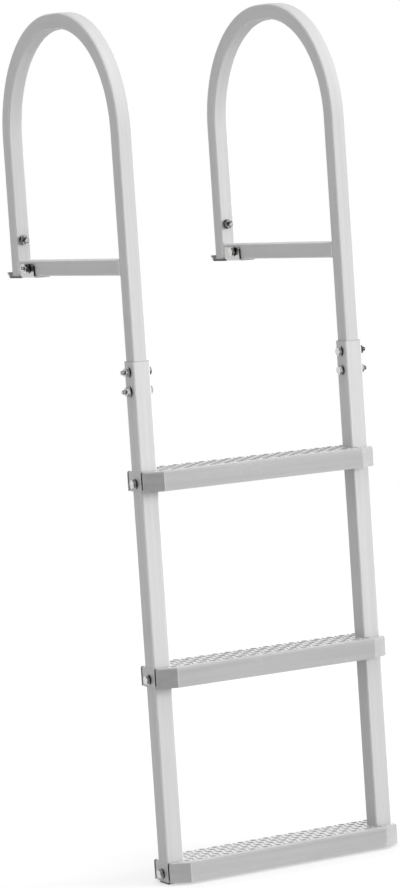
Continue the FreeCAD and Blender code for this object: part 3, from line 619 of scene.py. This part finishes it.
def new_piece(mesh, name, finish, replaced=(), sharp=35):
    """Turn a bmesh into a piece with a list of materials, smooth but for its edges sharper than an angle."""
    bmesh.ops.remove_doubles(mesh, verts=mesh.verts, dist=1e-6)
    bmesh.ops.recalc_face_normals(mesh, faces=mesh.faces)
    data = bpy.data.meshes.new(name)
    mesh.to_mesh(data)
    mesh.free()
    data.shade_smooth()
    data.set_sharp_from_angle(angle=math.radians(sharp))
    for material in finish:
        data.materials.append(material)
    piece = bpy.data.objects.new(name, data)
    bpy.context.scene.collection.objects.link(piece)
    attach(piece, "root")
    if replaced:
        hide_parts(*replaced)
    return piece


def add_washer(mesh, bore):
    """Washer standing on z = 0, with broken edges and a rim in its second material, painted shade."""
    size = sizes()
    outer, sheet = size.washer_width / 2, size.washer_sheet
    edge = sheet * 0.2
    verts = add_lathe(mesh, [
        round_ring(bore, 0), round_ring(outer - edge, 0), round_ring(outer, edge),
        round_ring(outer, sheet - edge), round_ring(outer - edge, sheet), round_ring(bore, sheet),
    ], segments=40, closed=True)
    rim_from = outer - 1.5 * edge
    for face in {face for vert in verts for face in vert.link_faces}:
        # The rim's faces get the second material: near-black painted shade
        rim = all(math.hypot(vert.co.x, vert.co.y) > rim_from for vert in face.verts)
        face.material_index = 1 if rim else 0


def add_head(mesh):
    """Hexagon head with its washer face, turned chamfer and shallow dish."""
    size = sizes()
    flat, base = size.head_flats / 2, size.washer_sheet
    top = base + size.head_height
    step = size.head_height * 0.06
    face, dish_edge, dish = flat * 0.95, flat * 0.86, flat * 0.80
    add_lathe(mesh, [
        round_ring(face, base), round_ring(face, base + step), hexagon_ring(flat, base + step),
        hexagon_ring(flat, top - step, CHAMFER), round_ring(face, top),
        round_ring(dish_edge, top), round_ring(dish, top - step * 0.5),
    ], segments=36)


def add_nut(mesh, bore):
    """Hexagon nut on its washer, chamfered above and below, with a countersunk bore."""
    size = sizes()
    flat, base = size.head_flats / 2, size.washer_sheet
    top = base + size.nut_height
    sink = size.thread_pitch * 0.5
    drop = size.nut_height * 0.05
    face = flat * 0.94
    add_lathe(mesh, [
        round_ring(bore, base), round_ring(face, base), hexagon_ring(flat, base + drop, -CHAMFER),
        hexagon_ring(flat, top - drop, CHAMFER), round_ring(face, top),
        round_ring(bore + sink, top), round_ring(bore, top - sink),
    ], segments=36, closed=True)


def add_shank(mesh, reach, threaded):
    """Plain shank, then a core with a helical ridge to a chamfered end. All lies below z = 0."""
    size = sizes()
    radius, pitch = size.bolt_size / 2, size.thread_pitch
    core = radius - size.thread_depth
    end_radius, end_chamfer = core * 0.80, pitch * 0.7
    add_lathe(mesh, [
        round_ring(radius, size.washer_sheet), round_ring(radius, threaded - reach + pitch),
        round_ring(core, threaded - reach), round_ring(core, end_chamfer - reach),
        round_ring(end_radius, -reach),
    ], segments=24)
    root, foot, crest = core * 0.96, pitch * 0.44, pitch * 0.08
    start = pitch * 1.15 - reach
    outline = [(root, -foot), (radius, -crest), (radius, crest), (root, foot)]
    corners = [mesh.verts.new((across, 0, start + up)) for across, up in outline]
    section = mesh.faces.new(corners)
    turns = int((threaded - 1.5 * pitch) / pitch)
    turn_steps = 20
    bmesh.ops.spin(mesh, geom=[*corners, *section.edges, section], cent=(0, 0, 0), axis=Z_AXIS,
                   dvec=(0, 0, pitch / turn_steps), angle=turns * math.tau, steps=turns * turn_steps,
                   use_merge=False)


def put(mesh, verts, spot, way, turn=0.0):
    """Turn what was made along z to face another way, and move it to its place."""
    facing = Z_AXIS.rotation_difference(way).to_matrix().to_4x4()
    place = Matrix.Translation(spot) @ facing @ Matrix.Rotation(turn, 4, "Z")
    bmesh.ops.transform(mesh, matrix=place, verts=verts)


def head_way(group, side):
    """Way that a bolt's head faces."""
    way = HEAD_WAYS[group].copy()
    if side == "right":
        way.x = -way.x
    return way


def fastener_piece(mesh, name, node, way, thickness):
    """Put a bolt or nut in its node's place, turned by chance. Thickness is of head or nut, with washer."""
    low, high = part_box(node)
    bearing = (low + high) / 2 + way * (abs(way.dot((high - low) / 2)) - thickness)
    put(mesh, mesh.verts, bearing, way, random.uniform(0, math.tau))
    new_piece(mesh, name, [materials["bolt"], materials["rim"]], [node])


def fastener_names():
    """Group, side and the rest of the name of every bolt."""
    for side in SIDES:
        yield "arm", side, "arm_%s" % side
        yield "dock", side, "dock_%s" % side
        for place in ("upper", "lower"):
            yield "sleeve", side, "sleeve_%s_%s" % (side, place)
        for step in STEPS:
            yield "step", side, "step_%s_%s" % (step, side)


def rib_data():
    """One raised rib, lying along x on z = 0: a lens with a rounded back and pointed ends."""
    size = sizes()
    mesh = bmesh.new()
    ends, half = size.rib_length / 2, size.rib_width / 2

    def lens(outline, height):
        def spot(angle):
            x, y = math.cos(angle), math.sin(angle)
            fullness = 0.55 + 0.45 * abs(y)
            return outline / math.hypot(x / ends, y / half / fullness), height

        return spot

    add_lathe(mesh, [lens(outline, size.rib_height * height) for outline, height in RIB_RINGS], segments=12)
    bmesh.ops.recalc_face_normals(mesh, faces=mesh.faces)
    data = bpy.data.meshes.new("rib")
    mesh.to_mesh(data)
    mesh.free()
    return data


def rib_places(step):
    """Middle and turn of every rib on a tread, in alternate directions, clear of the rails' holes."""
    size = sizes()
    low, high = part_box("step_%s" % step)
    pitch, reach = size.rib_pitch, size.rib_length * math.sqrt(0.5) / 2
    middle_x = (low.x + high.x) / 2
    first_y = low.y + size.smooth_front + reach
    rows = int((high.y - size.smooth_back - reach - first_y) / pitch) + 1
    half_count = int(SPACING / 2 / pitch)
    clear = RAIL_HALF + reach + size.rib_width / 4
    rails = [box_centre("lower_rail_%s" % side) for side in SIDES]
    for row in range(rows):
        y = first_y + row * pitch
        for column in range(-half_count, half_count + 1):
            x = middle_x + column * pitch
            if any(abs(x - rail.x) < clear and abs(y - rail.y) < clear for rail in rails):
                continue
            turn = math.radians(-45 if (row + column) % 2 else 45)
            yield Vector((x, y, high.z)), turn


def add_bead(mesh, start, end, bulge):
    """Weld bead from one point to another, rippled, thicker by bulge and thinner at its ends."""
    size = sizes()
    run = end - start
    per_ripple = 4
    count = max(4, round(run.length / size.bead_step)) * per_ripple
    rings = []
    for k in range(count + 1):
        phase = (k % per_ripple) / per_ripple
        ripple = 1.0 + 0.10 * math.sin(math.pi * phase)
        fade = min(1.0, 0.45 + 0.25 * min(k, count - k))
        radius = size.bead_radius * bulge * ripple * fade
        rings.append(round_ring(radius, run.length * k / count))
    verts = add_lathe(mesh, rings, segments=10)
    put(mesh, verts, start, run.normalized())


# Operators

class LADDER_OT_finishes(bpy.types.Operator):
    """Make the node groups and materials, and finish the frame's own nodes"""
    bl_idname = "ladder.finishes"
    bl_label = "Finish the Frame"

    def execute(self, context):
        finish = finishes()
        groups["grain"] = grain_group()
        groups["handling"] = handling_group()
        groups["corner"] = corner_group()
        groups["tread_light_and_wear"] = tread_light_and_wear_group()
        materials["hoop"] = tube_material("anodised_handrail", hoop_lane)
        # The lower rails' tube colour is made 4 % lighter: painted light, for the dimmer light low on the
        # ladder
        materials["rail"] = tube_material("anodised_lower_rail", lambda graph: straight_lane(graph, "Z"),
                                          shade=1.04, shaded_top_height=RAIL_HIGH.z)
        materials["arm"] = tube_material("anodised_arm", lambda graph: straight_lane(graph, "Y"))
        materials["tread"] = tread_material("tread_sheet", ribs=False)
        materials["rib"] = tread_material("tread_ribs", ribs=True)
        rough = finish.steel_roughness
        materials["bolt"] = steel_material("stainless_bolt", finish.steel_colour, rough, darkness=0.3)
        # Washer rims: near-black painted shade standing in for their shadow
        materials["rim"] = steel_material("rim_painted_shade", finish.edge_shade_colour, rough + 0.2, darkness=0.2)
        # The bracket's sheared edges get painted shade, near black
        materials["bracket"] = steel_material("stainless_bracket", finish.sheet_steel, rough + 0.08,
                                              darkness=0.2, edge_mask=bracket_edge_shade)
        materials["weld"] = weld_highlight_material()
        materials["plug"] = plug_material()
        finish_of = {"handrail": "hoop", "deck_arm": "arm", "lower_rail": "rail", "foot_plug": "plug",
                     "deck_bracket": "bracket", "step": "tread", "bolt": "bolt", "nut": "bolt"}
        for name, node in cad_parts.items():
            kind = next(start for start in finish_of if name.startswith(start))
            for slot in node.material_slots:
                slot.material = materials[finish_of[kind]]
        return {"FINISHED"}


class LADDER_OT_bolts(bpy.types.Operator):
    """Replace the plain bolts and nuts with threaded, chamfered ones"""
    bl_idname = "ladder.bolts"
    bl_label = "Bolts and Nuts"

    def execute(self, context):
        size = sizes()
        random.seed(8)
        bore = size.bolt_size / 2 + size.thread_depth * 0.2
        threaded = size.nut_height + size.bolt_size
        head_total = size.washer_sheet + size.head_height
        nut_total = size.washer_sheet + size.nut_height
        for group, side, name in fastener_names():
            way = head_way(group, side)
            bolt, nut = "bolt_" + name, "nut_" + name
            low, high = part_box(bolt)
            mesh = bmesh.new()
            add_washer(mesh, bore)
            add_head(mesh)
            add_shank(mesh, max(high - low) - head_total, threaded)
            fastener_piece(mesh, bolt + "_threaded", bolt, way, head_total)
            mesh = bmesh.new()
            add_washer(mesh, bore)
            add_nut(mesh, bore)
            fastener_piece(mesh, nut + "_chamfered", nut, -way, nut_total)
        return {"FINISHED"}


class LADDER_OT_ribs(bpy.types.Operator):
    """Raise the ribs of the three treads"""
    bl_idname = "ladder.ribs"
    bl_label = "Tread Ribs"

    def execute(self, context):
        rib = rib_data()
        for step in STEPS:
            mesh = bmesh.new()
            for spot, turn in rib_places(step):
                known = len(mesh.verts)
                mesh.from_mesh(rib)
                mesh.verts.ensure_lookup_table()
                place = Matrix.Translation(spot) @ Matrix.Rotation(turn, 4, "Z")
                bmesh.ops.transform(mesh, matrix=place, verts=mesh.verts[known:])
            new_piece(mesh, "tread_ribs_%s" % step, [materials["rib"]], sharp=60)
        bpy.data.meshes.remove(rib)
        return {"FINISHED"}


class LADDER_OT_welds(bpy.types.Operator):
    """Lay weld beads round both ends of each deck arm"""
    bl_idname = "ladder.welds"
    bl_label = "Weld Beads"

    def execute(self, context):
        radius = sizes().bead_radius
        for side in SIDES:
            low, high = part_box("deck_arm_%s" % side)
            inset = TUBE_SIDE * 0.12
            for end, y in (("rear", high.y), ("front", low.y)):
                mesh = bmesh.new()
                for x, inward in ((low.x, 1), (high.x, -1)):
                    x += inward * radius * 0.75
                    add_bead(mesh, Vector((x, y, low.z + inset)), Vector((x, y, high.z - inset)), bulge=1.0)
                for z, inward in ((low.z, 1), (high.z, -1)):
                    z += inward * radius * 0.25
                    add_bead(mesh, Vector((low.x + inset, y, z)), Vector((high.x - inset, y, z)), bulge=0.9)
                new_piece(mesh, "weld_%s_%s" % (side, end), [materials["weld"]], sharp=60)
        return {"FINISHED"}


class LADDER_OT_stage(bpy.types.Operator):
    """Set up the floor, the light and the camera"""
    bl_idname = "ladder.stage"
    bl_label = "Stage"

    def execute(self, context):
        scene = context.scene
        stage = staging()
        scene.view_settings.view_transform = "Standard"
        make_floor(stage)
        make_world(scene, stage)
        make_lamp("key_light", azimuth=52, elevation=8, spread=30, strength=stage.key_strength)
        make_lamp("fill_light", azimuth=-95, elevation=15, spread=40, strength=stage.fill_strength)
        make_lamp("top_light", azimuth=20, elevation=82, spread=50, strength=stage.top_strength)
        make_lamp("back_light", azimuth=165, elevation=35, spread=40, strength=stage.back_strength)
        make_camera(scene, stage)
        return {"FINISHED"}


def ray_masks(graph):
    """1 for rays from the camera, and 1 for rays from a mirror or through glass."""
    path = graph.node("ShaderNodeLightPath").outputs
    return path["Is Camera Ray"], graph.math("MAXIMUM", path["Is Glossy Ray"], path["Is Transmission Ray"])


def dockward(graph, x, y):
    """How far a place or a direction lies towards the dock, less a fifth of how far it lies to the right."""
    return graph.math("SUBTRACT", y, graph.times(x, 0.2))


def make_floor(stage):
    """Pale floor under the lowest point, bright enough to look white but for the ladder's shadow."""
    mesh = bmesh.new()
    bmesh.ops.create_grid(mesh, x_segments=1, y_segments=1, size=stage.floor_size / 2)
    low, high = cad_box
    middle = (low + high) / 2
    bmesh.ops.translate(mesh, vec=(middle.x, middle.y, low.z), verts=mesh.verts)
    data = bpy.data.meshes.new("floor")
    mesh.to_mesh(data)
    mesh.free()
    material, graph, shader = new_material("pale_floor")
    seen, mirrored = ray_masks(graph)
    x, y = graph.split(graph.node("ShaderNodeNewGeometry").outputs["Position"])[0:2]
    before = graph.remap(dockward(graph, x, y), -0.7, -0.35, 1.0, 0.0)
    shade = tinted([stage.floor_shade] * 3)
    dimmed = graph.blend(before, shade, tinted([stage.floor_dimmed] * 3))
    shown = graph.math("ADD", seen, graph.times(mirrored, graph.math("SUBTRACT", 1.0, before)))
    graph.feed(shader, {"Base Color": graph.blend(mirrored, shade, dimmed), "Roughness": 0.9,
                        "Specular IOR Level": 0.0, "Emission Color": (1.0, 1.0, 1.0, 1.0),
                        "Emission Strength": graph.times(shown, stage.floor_glow)})
    data.materials.append(material)
    floor = bpy.data.objects.new("floor", data)
    bpy.context.scene.collection.objects.link(floor)


def make_world(scene, stage):
    """Even light all round. Steel mirrors a white backdrop, a dim room, a window and a strip of light."""
    world = bpy.data.worlds.new("studio")
    scene.world = world
    world.use_nodes = True
    world.node_tree.nodes.clear()
    graph = Graph(world.node_tree)
    x, y, z = graph.split(graph.node("ShaderNodeTexCoord").outputs["Generated"])
    behind = graph.remap(dockward(graph, x, y), -0.15, 0.45)
    backdrop = graph.times(behind, graph.remap(z, 0.2, 0.7, 1.0, 0.5))
    room = graph.remap(x, 0.4, 0.8, stage.room, stage.window)
    strip_width = graph.times(graph.remap(x, 0.32, 0.40), graph.remap(x, 0.52, 0.60, 1.0, 0.0))
    strip = graph.times(strip_width, graph.remap(y, -0.6, -0.3, stage.strip, 0.0))
    around = graph.math("MAXIMUM", backdrop, graph.math("MAXIMUM", room, strip))
    seen, mirrored = ray_masks(graph)
    falling = graph.math("SUBTRACT", 1.0, graph.math("MAXIMUM", seen, mirrored))
    shown = graph.math("MAXIMUM", seen, graph.times(mirrored, around))
    strength = graph.math("ADD", shown, graph.times(falling, stage.ambient))
    light = graph.node("ShaderNodeBackground", {"Color": (1, 1, 1, 1), "Strength": strength})
    graph.node("ShaderNodeOutputWorld", {"Surface": light.outputs[0]})


def make_lamp(name, azimuth, elevation, spread, strength):
    """Even soft light from far off, in degrees from the front towards the right; steel doesn't mirror it."""
    turn, rise = math.radians(azimuth), math.radians(elevation)
    back = Vector((math.sin(turn) * math.cos(rise), -math.cos(turn) * math.cos(rise), math.sin(rise)))
    data = bpy.data.lights.new(name, "SUN")
    data.angle = math.radians(spread)
    data.energy = strength
    lamp = bpy.data.objects.new(name, data)
    lamp.visible_glossy = False
    lamp.location = back * staging().lamp_distance
    lamp.rotation_mode = "QUATERNION"
    lamp.rotation_quaternion = back.to_track_quat("Z", "Y")
    bpy.context.scene.collection.objects.link(lamp)


def make_camera(scene, stage):
    """Camera at the photograph's place."""
    data = bpy.data.cameras.new("camera")
    data.lens = stage.lens
    camera = bpy.data.objects.new("camera", data)
    rail = box_centre("lower_rail_left")
    camera.location = Vector((rail.x, rail.y, 0)) + Vector(stage.camera_place)
    camera.rotation_euler = stage.camera_turn
    scene.collection.objects.link(camera)
    scene.camera = camera


class LADDER_PT_panel(bpy.types.Panel):
    """Shows the ladder's operators and its sizes, finishes and stage"""
    bl_idname = "LADDER_PT_panel"
    bl_label = "Swim Ladder"
    bl_space_type = "VIEW_3D"
    bl_region_type = "UI"
    bl_category = "Swim Ladder"

    def draw(self, context):
        for operator in OPERATORS:
            self.layout.operator(operator.bl_idname)
        for settings in (sizes(), finishes(), staging()):
            column = self.layout.column(align=True)
            for name in settings.__annotations__:
                column.prop(settings, name)


OPERATORS = (LADDER_OT_finishes, LADDER_OT_bolts, LADDER_OT_ribs, LADDER_OT_welds, LADDER_OT_stage)
SETTINGS = {"ladder_sizes": LadderSizes, "ladder_finish": LadderFinish, "ladder_stage": LadderStage}


def register():
    for made in (*SETTINGS.values(), *OPERATORS, LADDER_PT_panel):
        bpy.utils.register_class(made)
    for name, settings in SETTINGS.items():
        setattr(bpy.types.Scene, name, bpy.props.PointerProperty(type=settings))


def unregister():
    for name in SETTINGS:
        delattr(bpy.types.Scene, name)
    for made in reversed((*SETTINGS.values(), *OPERATORS, LADDER_PT_panel)):
        bpy.utils.unregister_class(made)


def main():
    register()
    bpy.ops.ladder.finishes()
    bpy.ops.ladder.bolts()
    bpy.ops.ladder.ribs()
    bpy.ops.ladder.welds()
    bpy.ops.ladder.stage()


if __name__ == "__main__":
    main()
